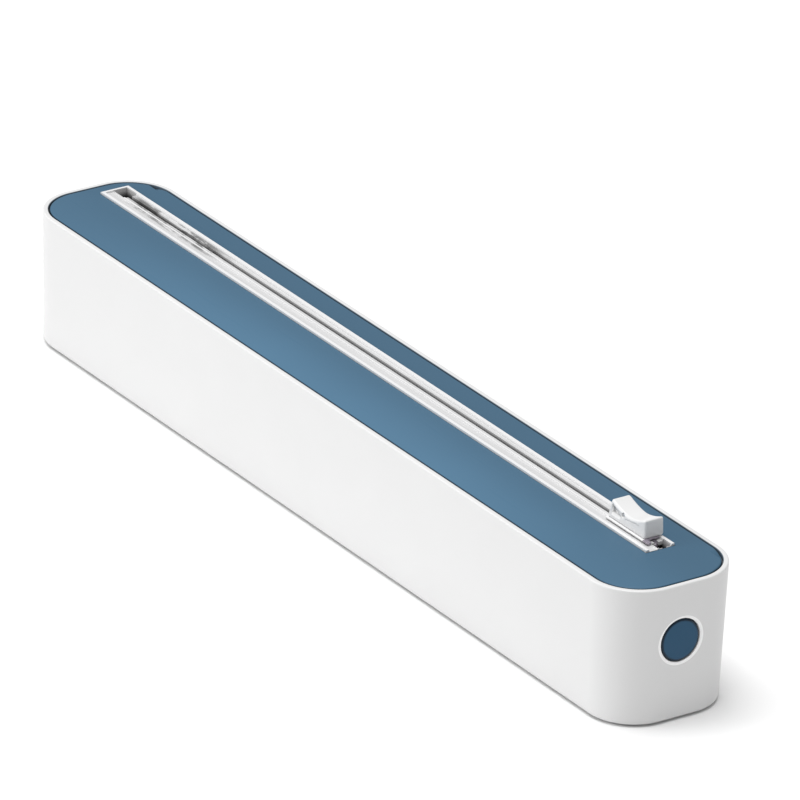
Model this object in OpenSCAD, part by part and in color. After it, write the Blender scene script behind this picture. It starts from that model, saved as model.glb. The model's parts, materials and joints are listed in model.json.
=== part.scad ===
// Cling film dispenser: a long white box with a flush hinged lid, a cutter rail and a button that opens it.
// Millimetres. +X is along the box, -Y is the front, +Z is up. The feet stand on z = 0.

/* [Body] */
// Length of the box at its rim
body_l = 350; // [330:1:370]
// Depth of the box at its rim, front to back
body_w = 49; // [48:0.5:52]
// Height of the rim above the surface that the box stands on
body_h = 48; // [48:0.5:52]
// Radius of the box's upright corners
corner_r = 17.5; // [14:0.5:20]
// Thickness of the moulded wall, which is also the width of the visible rim
wall = 1.8; // [1.6:0.1:2]
// How far each side draws in from the rim to the base
draft = 1.2; // [0.6:0.1:1.5]
// How far the rubber feet stand out below the base
foot_proud = 0.5; // [0.3:0.1:0.6]

/* [Lid] */
// Gap between the lid and the rim, which the film also comes out of
lid_gap = 0.4; // [0.35:0.05:0.5]
// Thickness of the coloured lid panel
panel_t = 2; // [1.8:0.1:2]
// Radius of the lid's rounded rear edge, which is centred on the hinge
rear_r = 1.4; // [1.35:0.05:1.5]
// Radius of the hinge pins
pin_r = 0.5; // [0.4:0.05:0.5]

/* [Cutter] */
// Width of the cutter rail
rail_w = 10.9; // [10.5:0.1:11.5]
// Distance of the rail's centre line behind the middle of the lid
rail_y = 6.95; // [6:0.05:7.5]
// Left end of the rail
rail_x0 = -167.5; // [-168:0.5:-160]
// Right end of the rail
rail_x1 = 150.5; // [148:0.5:151]
// Middle of the slider where it is parked
slider_x = 134.4; // [100:0.1:135]
// Length of the slider's grip
grip_l = 20.4; // [19:0.1:22]
// Width of the slider's grip
grip_w = 7.6; // [7:0.1:8]

/* [Film] */
// Width of the film on the roll
film_l = 294; // [280:1:294]
// Outer radius of a full roll
roll_r = 17.5; // [13.5:0.5:17.5]
// Outer radius of the cardboard core
core_r = 12.5; // [12:0.5:13]

/* [Button] */
// Radius of the release button
button_r = 7.3; // [6.5:0.1:7.5]
// Height of the button's centre
button_z = 28.3; // [28:0.1:29]
// Distance of the button's centre from the middle of the end face
button_y = -1; // [-2:0.5:0]
// How far the button goes in
button_travel = 2.5; // [2:0.1:2.5]

/* [Hidden] */

thin = 0.01;            // thickness of the slices that a hull joins
over = 1;               // how far a cutter runs past the face that it cuts
corner_fn = 64;
round_fn = 48;

// Box
floor_t = 2.2;
floor_z = foot_proud + floor_t;
base_fillet = 1;
hole_bevel = 0.9;       // flare of the button's hole
screw_bite = 1.5;       // how far a screw goes into the floor
foot_r = 5;
foot_h = 1.5;
foot_x = 130;
foot_y = 13;
function inset(z) = draft * (body_h - z) / (body_h - foot_proud);
function inner_y(z) = body_w / 2 - inset(z) - wall;

// Lid: hinge line and outline
lid_l = body_l - 2 * (wall + lid_gap);
lid_w = body_w - 2 * (wall + lid_gap);
lid_r = corner_r - wall - lid_gap;
hinge_y = lid_w / 2 - rear_r;
hinge_z = body_h - rear_r;
panel_z = body_h - panel_t;
frame_t = 1.8;
frame_z = panel_z - frame_t;
frame_inset = 1;
frame_back = hinge_y - rear_r - 0.3;
corner_x = body_l / 2 - corner_r;
corner_y = body_w / 2 - corner_r;
// Beyond this the lid's rear corners are cut back, so that they rise clear of the rim
relief_clear = 0.3;
relief_x = corner_x + sqrt(pow(corner_r - wall, 2) - pow(hinge_y + rear_r + relief_clear - corner_y, 2));
undercut_r = 2.3;       // hollow below the rear corners, about the hinge line
undercut_z = hinge_z + 0.9;
run = 0.05;             // radial clearance of a running fit

// Hinges
hinge_at = 110;
hinge_places = [-hinge_at, 0, hinge_at];
hinge_screw_x = 2.7;
hinge_screw_bite = 1.6;
boss_side = 1;          // how far a boss stands out beyond its bracket
boss_hole = 2.5;
bracket_w = 10;
bracket_t = 0.8;
bracket_foot = 33;
eye_r = 0.95;
eye_clear = 0.1;
tab_clear = 0.2;
side_clear = 0.3;
boss_top = 40;
pin_l = 16;
screw_r = 1;
head_r = 1.9;
small_head_r = 1.5;
hinge_head_r = 1.7;
head_t = 1;
cross_w = 0.5;

// Lid's frame and screws
window_l = 72;
window_gap = 8;
window_front = -13;
window_back = -4;
lid_screw_x = [-155, -55, 55, 155];
lid_screw_y = -16;
lid_screw_bite = 1.2;

// Rail, measured from its centre line and from the lid's top
lip_h = 0.7;
lip_w = 1.2;
lip_slope = 0.2;
ridge_y = -0.6;
ridge_w = 0.7;
ridge_h = 0.35;
ridge_slope = 0.1;
rail_side = 1.1;
groove_y = 1.75;
groove_w = 1.6;
deck_t = 1.2;
channel_z = body_h - 3.2;
channel_w = 5.2;
rail_foot = 8.5;
rail_foot_t = 1;
rail_z = frame_z - rail_foot_t;
end_t = 0.9;
end_drop = 0.2;
notch_left = 6.2;
notch_right = 3.6;
rail_screw_x = [-130, -45, 45, 130];
rail_screw_y = 7.1;

// Slider, measured from its middle
shoe_l = 24.6;
shoe_w = 7.2;
plate_z = body_h + 0.45;
grip_z = body_h + 1.1;
grip_h = 6.5;
grip_corner = 0.8;
grip_draw_x = 1.6;      // how far each end of the grip draws in to its top
grip_draw_y = 0.7;      // the same for its front and back
saddle = 2.5;
shoe_shift = 0.3;
blade_t = 0.4;
blade_l = 12;
blade_slope = 4;        // length of the slanted edge at each end
blade_body_h = 3;       // how far the blade's body reaches up into the grip
blade_slot_h = 3.1;
pin_notch_w = 2.4;      // notch in the blade's top edge that straddles the pin
pin_notch_d = 0.9;
pin_slot_h = 4.2;
blade_pin_x = -2.2;
blade_pin_z = body_h + 4.4;
blade_pin_r = 0.4;
blade_pin_inset = 0.6;

// Roll and its cradles
roll_z = floor_z + roll_r + 1.3;
core_t = 1.5;
core_l = film_l + 4;
flange_t = 1.2;
flange_r = 14;
stub_r = 4;
plug_l = 12;
cradle_x = core_l / 2 + flange_t + 0.8;
cradle_t = 2;
stub_l = 4.3;
stub_clear = 0.08;
wall_clear = 0.1;       // between a cradle and the walls beside it
cradle_top = 41.8;
pad_top = frame_z - 0.3;
pad_l = 12;
pad_slope = 3;
cradle_foot_l = 9;
cradle_foot_w = 8;
cradle_foot_y = 14;
floor_foot_t = 2;

// Button and latch, from the outer face inwards
button_sunk = 0.2;
button_face = body_l / 2 - inset(button_z) - button_sunk;
button_wall = 1.5;
button_front_t = 1.4;
button_flange_r = button_r + 1.1;
button_bore_r = button_r + 0.15;
flange_x = body_l / 2 - inset(button_z) - wall - 0.4;
button_flange_t = 1.4;
shank_r = 2;
shank_clear = 0.4;      // the shank's end stops this far inside the guide's face
guide_x = cradle_x + cradle_t + 2.3;
guide_t = 1.5;
guide_w = 26;
guide_over = 6;         // height of the guide above the button's centre
guide_foot_l = 7;
guide_screw_x = 4;
guide_foot_y = 9;
spring_solid = 5.1;     // room that the spring needs when the button is pressed
latch_x = guide_x + guide_t + spring_solid + button_travel;
latch_t = 2;
latch_half = 6;
nose_z = 39.2;
nose_h = 2;
nose_w = 6;
nose_tip = 0.5;
catch_x = 169;
catch_t = 1.5;
catch_z = 37.2;
catch_w = 10;
catch_plate_l = 7;
catch_plate_t = 1.3;
catch_screw_x = 2.4;
catch_screw_y = 2.8;
hook_l = 1;
hook_h = 1.7;
latch_clear = 0.2;
spring_wire = 0.35;
spring_r = 3.3;
spring_turns = 6;
spring_steps = 20;
spring_sides = 8;
spring_clear = 0.03;
spring_x0 = guide_x + guide_t + spring_wire + spring_clear;
spring_x1 = latch_x - spring_wire - spring_clear;
spring_end = 2.1 * spring_wire;     // pitch of the closed end turns

white = [0.94, 0.94, 0.94];
blue = [0.33, 0.46, 0.56];
clear = [0.88, 0.9, 0.92];
steel = [0.72, 0.73, 0.75];

// A flat plate with four round corners, centred, standing on z = 0
module rounded_plate(l, w, r, h) {
    linear_extrude(h)
        hull()
            for (sx = [-1, 1], sy = [-1, 1])
                translate([sx * (l / 2 - r), sy * (w / 2 - r)])
                    circle(r = r, $fn = corner_fn);
}

// A slice of the box's outline, drawn in by the same distance on every side
module box_slice(z, by) {
    translate([0, 0, z])
        rounded_plate(body_l - 2 * by, body_w - 2 * by, corner_r - by, thin);
}

module along_x(x0, x1, y, z, r) {
    translate([x0, y, z])
        rotate([0, 90, 0])
            cylinder(h = x1 - x0, r = r, $fn = round_fn);
}

module block(x0, x1, y0, y1, z0, z1) {
    translate([x0, y0, z0])
        cube([x1 - x0, y1 - y0, z1 - z0]);
}

// A pan-head screw that stands on its tip's end at z = 0 and has its head at the top
module screw(length, r = screw_r, head = head_r) {
    cylinder(h = length + thin, r = r, $fn = round_fn);
    translate([0, 0, length])
        difference() {
            cylinder(h = head_t, r = head, $fn = round_fn);
            for (turn = [0, 90])
                rotate(turn)
                    translate([-head * 0.6, -cross_w / 2, head_t / 2])
                        cube([head * 1.2, cross_w, head_t]);
        }
}

module foot_places() {
    for (sx = [-1, 1], sy = [-1, 1])
        translate([sx * foot_x, sy * foot_y, 0])
            children();
}

module body_shell() {
    color(white)
    difference() {
        union() {
            difference() {
                hull() {
                    box_slice(foot_proud, draft + base_fillet);
                    box_slice(foot_proud + base_fillet, draft);
                    box_slice(body_h - thin, 0);
                }
                hull() {
                    box_slice(floor_z, draft + wall);
                    box_slice(body_h + over, wall);
                }
            }
            for (x = hinge_places)
                block(x - bracket_w / 2 - boss_side, x + bracket_w / 2 + boss_side, hinge_y + bracket_t / 2,
                      body_w / 2 - wall / 2 - draft / 3, bracket_foot, boss_top);
        }
        foot_places()
            translate([0, 0, -over])
                cylinder(h = foot_h + over, r = foot_r + run, $fn = round_fn);
        along_x(body_l / 2 - 4 * wall, body_l / 2 + over, button_y, button_z, button_bore_r);
        translate([body_l / 2 - inset(button_z) - hole_bevel, button_y, button_z])
            rotate([0, 90, 0])
                cylinder(h = hole_bevel + over, r1 = button_bore_r, r2 = button_bore_r + hole_bevel + over,
                         $fn = round_fn);
        floor_screw_places()
            translate([0, 0, floor_z - screw_bite])
                cylinder(h = screw_bite + over, r = screw_r, $fn = round_fn);
        hinge_screw_places()
            translate([0, 0, -boss_hole])
                cylinder(h = boss_hole + over, r = screw_r, $fn = round_fn);
    }
}

// Each place has its z axis along the screw, with z = 0 on the boss's face
module hinge_screw_places() {
    for (x = hinge_places, side = [-1, 1])
        translate([x + side * hinge_screw_x, hinge_y + bracket_t / 2, (bracket_foot + boss_top) / 2])
            rotate([90, 0, 0])
                children();
}

module cradle_screw_places() {
    for (sx = [-1, 1], sy = [-1, 1])
        translate([sx * (cradle_x - cradle_foot_l / 2), sy * cradle_foot_y, 0])
            children();
}

module bracket_screw_places() {
    for (sy = [-1, 1])
        translate([guide_x + guide_t + guide_screw_x, button_y + sy * guide_foot_y, 0])
            children();
}

module floor_screw_places() {
    cradle_screw_places()
        children();
    bracket_screw_places()
        children();
}

module rubber_feet() {
    color("dimgray")
    foot_places()
        cylinder(h = foot_h, r = foot_r, $fn = round_fn);
}

// An upright plate across the box with an open-topped slot for the roll's stub and a pad below the lid
module cradle() {
    low = inner_y(floor_z) - wall_clear;
    high = inner_y(pad_top) - wall_clear;
    slot_r = stub_r + stub_clear;
    color(white) {
        difference() {
            translate([cradle_x + cradle_t, 0, 0])
                rotate([90, 0, -90])
                    linear_extrude(cradle_t)
                        polygon([[-low, floor_z], [low, floor_z], [high, pad_top], [high - pad_l, pad_top],
                                 [high - pad_l - pad_slope, cradle_top], [-high, cradle_top]]);
            along_x(cradle_x - over, cradle_x + cradle_t + over, 0, roll_z, slot_r);
            block(cradle_x - over, cradle_x + cradle_t + over, -slot_r, slot_r, roll_z, body_h);
        }
        for (sy = [-1, 1])
            difference() {
                block(cradle_x - cradle_foot_l, cradle_x + thin, sy * cradle_foot_y - cradle_foot_w / 2,
                      sy * cradle_foot_y + cradle_foot_w / 2, floor_z, floor_z + floor_foot_t);
                translate([cradle_x - cradle_foot_l / 2, sy * cradle_foot_y, floor_z - over])
                    cylinder(h = floor_foot_t + 2 * over, r = screw_r, $fn = round_fn);
            }
    }
}

module cradle_left() {
    mirror([1, 0, 0])
        cradle();
}

module cradle_right() {
    cradle();
}

module cradle_screws() {
    color(steel)
    cradle_screw_places()
        translate([0, 0, floor_z - screw_bite])
            screw(screw_bite + floor_foot_t);
}

// A steel tab screwed to the rear wall, with the eye that the hinge pin turns in
module hinge_bracket(x) {
    color(steel)
    difference() {
        union() {
            block(x - bracket_w / 2, x + bracket_w / 2, hinge_y - bracket_t / 2, hinge_y + bracket_t / 2,
                  bracket_foot, hinge_z);
            along_x(x - bracket_w / 2, x + bracket_w / 2, hinge_y, hinge_z, eye_r);
        }
        along_x(x - bracket_w, x + bracket_w, hinge_y, hinge_z, pin_r + run);
        hinge_screw_places()
            translate([0, 0, -over])
                cylinder(h = bracket_t + 2 * over, r = screw_r, $fn = round_fn);
    }
}

module hinge_bracket_left() {
    hinge_bracket(-hinge_at);
}

module hinge_bracket_middle() {
    hinge_bracket(0);
}

module hinge_bracket_right() {
    hinge_bracket(hinge_at);
}

module hinge_screws() {
    color(steel)
    hinge_screw_places()
        translate([0, 0, -hinge_screw_bite])
            screw(hinge_screw_bite + bracket_t, head = hinge_head_r);
}

// The wall behind the button that guides its shank and takes the spring's thrust
module latch_bracket() {
    color(white)
    difference() {
        union() {
            for (size = [[guide_t, button_z + guide_over], [guide_t + guide_foot_l, floor_z + floor_foot_t]])
                block(guide_x, guide_x + size[0], button_y - guide_w / 2, button_y + guide_w / 2,
                      floor_z, size[1]);
        }
        along_x(guide_x - over, guide_x + guide_t + over, button_y, button_z, shank_r + run);
        bracket_screw_places()
            cylinder(h = 2 * floor_z, r = screw_r, $fn = round_fn);
    }
}

module bracket_screws() {
    color(steel)
    bracket_screw_places()
        translate([0, 0, floor_z - screw_bite])
            screw(screw_bite + floor_foot_t);
}

// Place along the compression spring, whose end turns lie close and whose middle turns are open
function spring_x(turn) =
    turn < 1 ? spring_x0 + spring_end * turn :
    turn > spring_turns - 1 ? spring_x1 - spring_end * (spring_turns - turn) :
    spring_x0 + spring_end + (spring_x1 - spring_x0 - 2 * spring_end) * (turn - 1) / (spring_turns - 2);

module latch_spring() {
    rings = spring_turns * spring_steps;
    points = [
        for (i = [0:rings], k = [0:spring_sides - 1])
            let (at = 360 * i / spring_steps,
                 around = 360 * k / spring_sides,
                 r = spring_r + spring_wire * cos(around))
            [spring_x(i / spring_steps) + spring_wire * sin(around), r * cos(at), r * sin(at)]
    ];
    faces = concat(
        [[for (k = [spring_sides - 1:-1:0]) k]],
        [[for (k = [0:spring_sides - 1]) rings * spring_sides + k]],
        [for (i = [0:rings - 1], k = [0:spring_sides - 1])
            let (next = (k + 1) % spring_sides, here = i * spring_sides, there = here + spring_sides)
            [here + k, here + next, there + next, there + k]]
    );
    color(steel)
    translate([0, button_y, button_z])
        polyhedron(points = points, faces = faces);
}

// The part of the lid's outline behind the hinge line, turned about that line, so that it clears the rim
module rear_roll() {
    translate([0, hinge_y, hinge_z])
        rotate([0, 90, 0])
            rotate_extrude($fn = round_fn)
                intersection() {
                    translate([-hinge_y, 0])
                        rotate(90)
                            hull()
                                for (sx = [-1, 1], sy = [-1, 1])
                                    translate([sx * (lid_l / 2 - lid_r), sy * (lid_w / 2 - lid_r)])
                                        circle(r = lid_r, $fn = corner_fn);
                    translate([0, -lid_l / 2])
                        square([rear_r + over, lid_l]);
                }
}

// The opening that the rail stands in, through the panel and its frame
module rail_slot() {
    block(rail_x0, rail_x1, rail_y - rail_w / 2, rail_y + rail_w / 2, 0, 2 * body_h);
}

module lid_panel() {
    color(blue)
    difference() {
        union() {
            intersection() {
                translate([0, 0, panel_z])
                    rounded_plate(lid_l, lid_w, lid_r, panel_t);
                block(-lid_l, lid_l, -lid_w, hinge_y, 0, 2 * body_h);
            }
            rear_roll();
        }
        rail_slot();
        for (x = hinge_places) {
            along_x(x - pin_l / 2, x + pin_l / 2, hinge_y, hinge_z, pin_r);
            along_x(x - bracket_w / 2 - side_clear, x + bracket_w / 2 + side_clear, hinge_y, hinge_z,
                    eye_r + eye_clear);
            block(x - bracket_w / 2 - side_clear, x + bracket_w / 2 + side_clear,
                  hinge_y - bracket_t / 2 - tab_clear, hinge_y + 2 * rear_r,
                  hinge_z - 2 * rear_r, hinge_z + bracket_t / 2 + tab_clear);
        }
        for (sx = [-1, 1])
            translate([sx * (relief_x + lid_l) - lid_l, 0, 0]) {
                translate([0, hinge_y - rear_r - relief_clear, 0])
                    cube([2 * lid_l, lid_w, 2 * body_h]);
                intersection() {
                    along_x(0, 2 * lid_l, hinge_y, hinge_z, undercut_r);
                    cube([2 * lid_l, lid_w, undercut_z]);
                }
            }
        lid_screw_places()
            translate([0, 0, panel_z - over])
                cylinder(h = over + lid_screw_bite + 0.1, r = screw_r, $fn = round_fn);
    }
}

module lid_screw_places() {
    for (x = lid_screw_x)
        translate([x, lid_screw_y, 0])
            children();
}

// White carrier under the panel: a plate with windows, through which the rail passes
module lid_frame() {
    pitch = window_l + window_gap;
    color(white)
    difference() {
        intersection() {
            translate([0, 0, frame_z])
                rounded_plate(lid_l - 2 * frame_inset, lid_w - 2 * frame_inset, lid_r - frame_inset, frame_t);
            block(-lid_l, lid_l, -lid_w, frame_back, 0, 2 * body_h);
        }
        rail_slot();
        for (i = [-1.5:1:1.5])
            block(i * pitch - window_l / 2, i * pitch + window_l / 2, window_front, window_back,
                  0, 2 * body_h);
        lid_screw_places()
            cylinder(h = 2 * body_h, r = screw_r, $fn = round_fn);
        rail_screw_places()
            cylinder(h = 2 * body_h, r = screw_r, $fn = round_fn);
        catch_screw_places()
            cylinder(h = 2 * body_h, r = screw_r, $fn = round_fn);
    }
}

module lid_screws() {
    color(steel)
    lid_screw_places()
        translate([0, 0, panel_z + lid_screw_bite])
            rotate([180, 0, 0])
                screw(frame_t + lid_screw_bite);
}

// Rail section in y and z: two lips, two decks, the blade's groove and the channel that the shoe runs in
module rail_section() {
    half = rail_w / 2;
    top = body_h + lip_h;
    groove0 = groove_y - groove_w / 2;
    groove1 = groove_y + groove_w / 2;
    channel0 = groove_y - channel_w / 2;
    channel1 = groove_y + channel_w / 2;
    lip = half - lip_w;
    ridge = ridge_w / 2;
    ridge_top = ridge - ridge_slope;
    polygon([
        [-rail_foot, rail_z], [-rail_foot, frame_z], [-half, frame_z], [-half, top],
        [-lip, top], [-lip + lip_slope, body_h], [ridge_y - ridge, body_h],
        [ridge_y - ridge_top, body_h + ridge_h], [ridge_y + ridge_top, body_h + ridge_h],
        [ridge_y + ridge, body_h], [groove0, body_h], [groove0, body_h - deck_t], [channel0, body_h - deck_t],
        [channel0, channel_z], [channel1, channel_z], [channel1, body_h - deck_t], [groove1, body_h - deck_t],
        [groove1, body_h], [lip - lip_slope, body_h], [lip, top], [half, top], [half, frame_z],
        [rail_foot, frame_z], [rail_foot, rail_z], [channel0 - rail_side, rail_z],
        [channel0 - rail_side, body_h - deck_t], [-half + rail_side, body_h - deck_t],
        [-half + rail_side, rail_z],
    ]);
}

module cutter_rail() {
    half = rail_w / 2;
    channel0 = rail_y + groove_y - channel_w / 2;
    channel1 = rail_y + groove_y + channel_w / 2;
    color(clear)
    difference() {
        union() {
            translate([rail_x0, rail_y, 0])
                rotate([90, 0, 90])
                    linear_extrude(rail_x1 - rail_x0)
                        rail_section();
            for (x = [rail_x0, rail_x1 - end_t])
                block(x, x + end_t, rail_y - half, rail_y + half, rail_z, body_h + lip_h - end_drop);
        }
        block(rail_x0 + end_t, rail_x0 + end_t + notch_left, channel0, channel1, 0, 2 * body_h);
        block(rail_x1 - end_t - notch_right, rail_x1 - end_t, channel0, channel1, 0, 2 * body_h);
        rail_screw_places()
            cylinder(h = 2 * body_h, r = screw_r, $fn = round_fn);
    }
}

module rail_screw_places() {
    for (x = rail_screw_x, side = [-1, 1])
        translate([x, rail_y + side * rail_screw_y, 0])
            children();
}

module rail_screws() {
    color(steel)
    rail_screw_places()
        translate([0, 0, panel_z])
            rotate([180, 0, 0])
                screw(frame_t + rail_foot_t, head = small_head_r);
}

module hinge_pin(x) {
    color(steel)
    along_x(x - pin_l / 2, x + pin_l / 2, hinge_y, hinge_z, pin_r);
}

module hinge_pin_left() {
    hinge_pin(-hinge_at);
}

module hinge_pin_middle() {
    hinge_pin(0);
}

module hinge_pin_right() {
    hinge_pin(hinge_at);
}

module catch_screw_places() {
    for (sy = [-1, 1])
        translate([catch_x - catch_plate_l + catch_screw_x, button_y + sy * catch_screw_y, 0])
            children();
}

// The hook under the lid that the latch's nose holds down
module lid_catch() {
    back = catch_x + catch_t;
    color(white)
    difference() {
        union() {
            block(catch_x - catch_plate_l, back, button_y - catch_w / 2, button_y + catch_w / 2,
                  frame_z - catch_plate_t, frame_z);
            translate([0, button_y + catch_w / 2, 0])
                rotate([90, 0, 0])
                    linear_extrude(catch_w)
                        polygon([[back, frame_z], [back, catch_z + 0.4], [back - 0.6, catch_z],
                                 [catch_x, catch_z],
                                 [catch_x - hook_l, catch_z + hook_l], [catch_x - hook_l, catch_z + hook_h],
                                 [catch_x, catch_z + hook_h], [catch_x, frame_z]]);
        }
        catch_screw_places()
            cylinder(h = 2 * body_h, r = screw_r, $fn = round_fn);
    }
}

module catch_screws() {
    color(steel)
    catch_screw_places()
        translate([0, 0, panel_z])
            rotate([180, 0, 0])
                screw(frame_t + catch_plate_t, head = small_head_r);
}

// Thumb grip: raised ends with a hollow between them, and a slot beneath for the blade
module slider_grip() {
    high = grip_l / 2 - grip_draw_x;
    sweep_r = (high * high + saddle * saddle) / (2 * saddle);
    color(white)
    translate([slider_x, rail_y + groove_y, grip_z])
        difference() {
            hull() {
                rounded_plate(grip_l, grip_w, grip_corner, thin);
                translate([0, 0, grip_h * 0.45])
                    rounded_plate(grip_l - grip_draw_x / 4, grip_w, grip_corner, thin);
                translate([0, 0, grip_h - thin])
                    rounded_plate(2 * high, grip_w - 2 * grip_draw_y, grip_corner, thin);
            }
            translate([0, grip_w, grip_h - saddle + sweep_r])
                rotate([90, 0, 0])
                    cylinder(h = 2 * grip_w, r = sweep_r, $fn = 2 * corner_fn);
            block(-blade_l / 2, blade_l / 2, -blade_t / 2, blade_t / 2, -over, blade_slot_h);
            block(blade_pin_x - pin_notch_w / 2 - 0.1, blade_pin_x + pin_notch_w / 2 + 0.1,
                  -blade_t / 2, blade_t / 2, -over, pin_slot_h);
            translate([blade_pin_x, grip_w, blade_pin_z - grip_z])
                rotate([90, 0, 0])
                    cylinder(h = 2 * grip_w, r = blade_pin_r, $fn = round_fn);
        }
}

// Clear foot of the slider: a plate on the decks, two stems in the groove and a bar in the channel
module slider_shoe() {
    stem_l = 3.5;
    stem_w = groove_w - 0.4;
    bar_l = 22;
    bar_h = 1.5;
    bar_z = channel_z + 0.2;
    bar_clear = 0.25;
    color(clear)
    translate([slider_x, rail_y + groove_y, 0])
        difference() {
            union() {
                block(shoe_shift - shoe_l / 2, shoe_shift + shoe_l / 2,
                      -groove_y - shoe_w / 2, -groove_y + shoe_w / 2, plate_z, grip_z);
                block(-bar_l / 2, bar_l / 2, -channel_w / 2 + bar_clear, channel_w / 2 - bar_clear, bar_z,
                      bar_z + bar_h);
                for (x = [-bar_l / 2, bar_l / 2 - stem_l])
                    block(x, x + stem_l, -stem_w / 2, stem_w / 2, bar_z, plate_z + thin);
            }
            block(-blade_l / 2, blade_l / 2, -blade_t / 2, blade_t / 2, plate_z - over, grip_z + over);
        }
}

// Steel blade with a slanted edge at each end, so that it cuts both ways
module cutter_blade() {
    foot_z = body_h - 0.9;
    shoulder_z = grip_z + blade_body_h;
    notch_z = shoulder_z - pin_notch_d;
    color(steel)
    translate([slider_x, rail_y + groove_y + blade_t / 2, 0])
        rotate([90, 0, 0])
            linear_extrude(blade_t)
                polygon([[-blade_l / 2, shoulder_z], [-blade_l / 2, grip_z],
                         [-blade_l / 2 + blade_slope, foot_z], [blade_l / 2 - blade_slope, foot_z],
                         [blade_l / 2, grip_z], [blade_l / 2, shoulder_z],
                         [blade_pin_x + pin_notch_w / 2, shoulder_z], [blade_pin_x + 0.5, notch_z],
                         [blade_pin_x - 0.5, notch_z], [blade_pin_x - pin_notch_w / 2, shoulder_z]]);
}

module blade_pin() {
    color(steel)
    translate([slider_x + blade_pin_x, rail_y + groove_y + grip_w / 2 - blade_pin_inset, blade_pin_z])
        rotate([90, 0, 0])
            cylinder(h = grip_w - 2 * blade_pin_inset, r = blade_pin_r, $fn = round_fn);
}

module release_button() {
    color(blue)
    difference() {
        union() {
            along_x(flange_x - thin, button_face, button_y, button_z, button_r);
            along_x(flange_x - button_flange_t, flange_x, button_y, button_z, button_flange_r);
            along_x(guide_x + shank_clear, flange_x, button_y, button_z, shank_r);
        }
        difference() {
            along_x(flange_x - button_flange_t - over, button_face - button_front_t, button_y, button_z,
                    button_r - button_wall);
            along_x(guide_x, button_face, button_y, button_z, shank_r);
        }
    }
}

// The plate on the button's shank, with an upright arm whose nose holds the lid's hook
module latch_slide() {
    nose_x = catch_x - 1 - latch_clear;
    color(white)
    difference() {
        union() {
            block(latch_x, latch_x + latch_t, button_y - latch_half, button_y + latch_half,
                  button_z - latch_half, nose_z + nose_h);
            translate([0, button_y + nose_w / 2, 0])
                rotate([90, 0, 0])
                    linear_extrude(nose_w)
                        polygon([[latch_x + latch_t / 2, nose_z], [nose_x, nose_z],
                                 [nose_x, nose_z + nose_tip], [latch_x + latch_t, nose_z + nose_h],
                                 [latch_x + latch_t / 2, nose_z + nose_h]]);
        }
        along_x(latch_x - over, latch_x + latch_t + over, button_y, button_z, shank_r);
    }
}

module roll_tube(half, outer, inner) {
    difference() {
        along_x(-half, half, 0, roll_z, outer);
        along_x(-half - over, half + over, 0, roll_z, inner);
    }
}

module film_roll() {
    color([0.85, 0.9, 0.92])
        roll_tube(film_l / 2, roll_r, core_r);
}

module core_tube() {
    color("burlywood")
        roll_tube(core_l / 2, core_r, core_r - core_t);
}

// Plug in the end of the core: a spigot, a flange and the stub that turns in the cradle
module roll_plug() {
    end = core_l / 2;
    color(white)
    union() {
        along_x(end - plug_l, end + thin, 0, roll_z, core_r - core_t);
        along_x(end, end + flange_t, 0, roll_z, flange_r);
        along_x(end + flange_t - thin, end + flange_t + stub_l, 0, roll_z, stub_r);
    }
}

module roll_plug_left() {
    mirror([1, 0, 0])
        roll_plug();
}

module roll_plug_right() {
    roll_plug();
}

body_shell();
rubber_feet();
cradle_left();
cradle_right();
cradle_screws();
hinge_bracket_left();
hinge_bracket_middle();
hinge_bracket_right();
hinge_screws();
latch_bracket();
bracket_screws();
latch_spring();
lid_panel();
lid_frame();
lid_screws();
cutter_rail();
rail_screws();
hinge_pin_left();
hinge_pin_middle();
hinge_pin_right();
lid_catch();
catch_screws();
slider_grip();
slider_shoe();
cutter_blade();
blade_pin();
release_button();
latch_slide();
film_roll();
core_tube();
roll_plug_left();
roll_plug_right();
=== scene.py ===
"""Cling film dispenser: finished pieces and materials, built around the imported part, loaded as a frame.

Lengths in this file are millimetres, and become metres where a mesh is made.
"""

import json
import math

import bmesh
import bpy
from bpy.props import FloatProperty, FloatVectorProperty, PointerProperty
from mathutils import Matrix, Vector


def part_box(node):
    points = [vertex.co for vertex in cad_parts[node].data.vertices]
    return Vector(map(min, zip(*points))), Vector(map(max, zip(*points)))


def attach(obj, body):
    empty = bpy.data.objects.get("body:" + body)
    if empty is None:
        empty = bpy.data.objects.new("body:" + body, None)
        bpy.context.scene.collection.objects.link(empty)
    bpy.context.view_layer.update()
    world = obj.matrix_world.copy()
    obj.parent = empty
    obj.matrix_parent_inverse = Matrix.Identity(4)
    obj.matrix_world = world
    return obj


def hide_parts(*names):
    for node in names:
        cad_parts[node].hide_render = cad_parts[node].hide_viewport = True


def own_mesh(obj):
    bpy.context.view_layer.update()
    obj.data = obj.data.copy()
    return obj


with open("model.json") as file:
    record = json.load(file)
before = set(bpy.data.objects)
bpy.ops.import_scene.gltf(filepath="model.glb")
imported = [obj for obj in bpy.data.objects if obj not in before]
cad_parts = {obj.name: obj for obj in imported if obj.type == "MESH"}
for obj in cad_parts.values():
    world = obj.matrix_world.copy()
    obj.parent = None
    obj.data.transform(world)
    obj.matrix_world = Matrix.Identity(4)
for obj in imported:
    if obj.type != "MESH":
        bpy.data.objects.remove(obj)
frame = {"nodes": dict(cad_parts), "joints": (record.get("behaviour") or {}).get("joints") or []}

bl_info = {
    "name": "Cling Film Dispenser",
    "version": (1, 0, 0),
    "blender": (4, 5, 0),
    "location": "View3D > Sidebar > Dispenser",
    "description": "Builds a cling film dispenser with a hinged lid, a slide cutter and a release button",
    "category": "Object",
}

MM = 0.001
ALONG_X = Matrix.Rotation(math.radians(90), 4, "Y")
SHARP_ANGLE = math.radians(40)
CREASE_ANGLE = math.radians(48)


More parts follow.
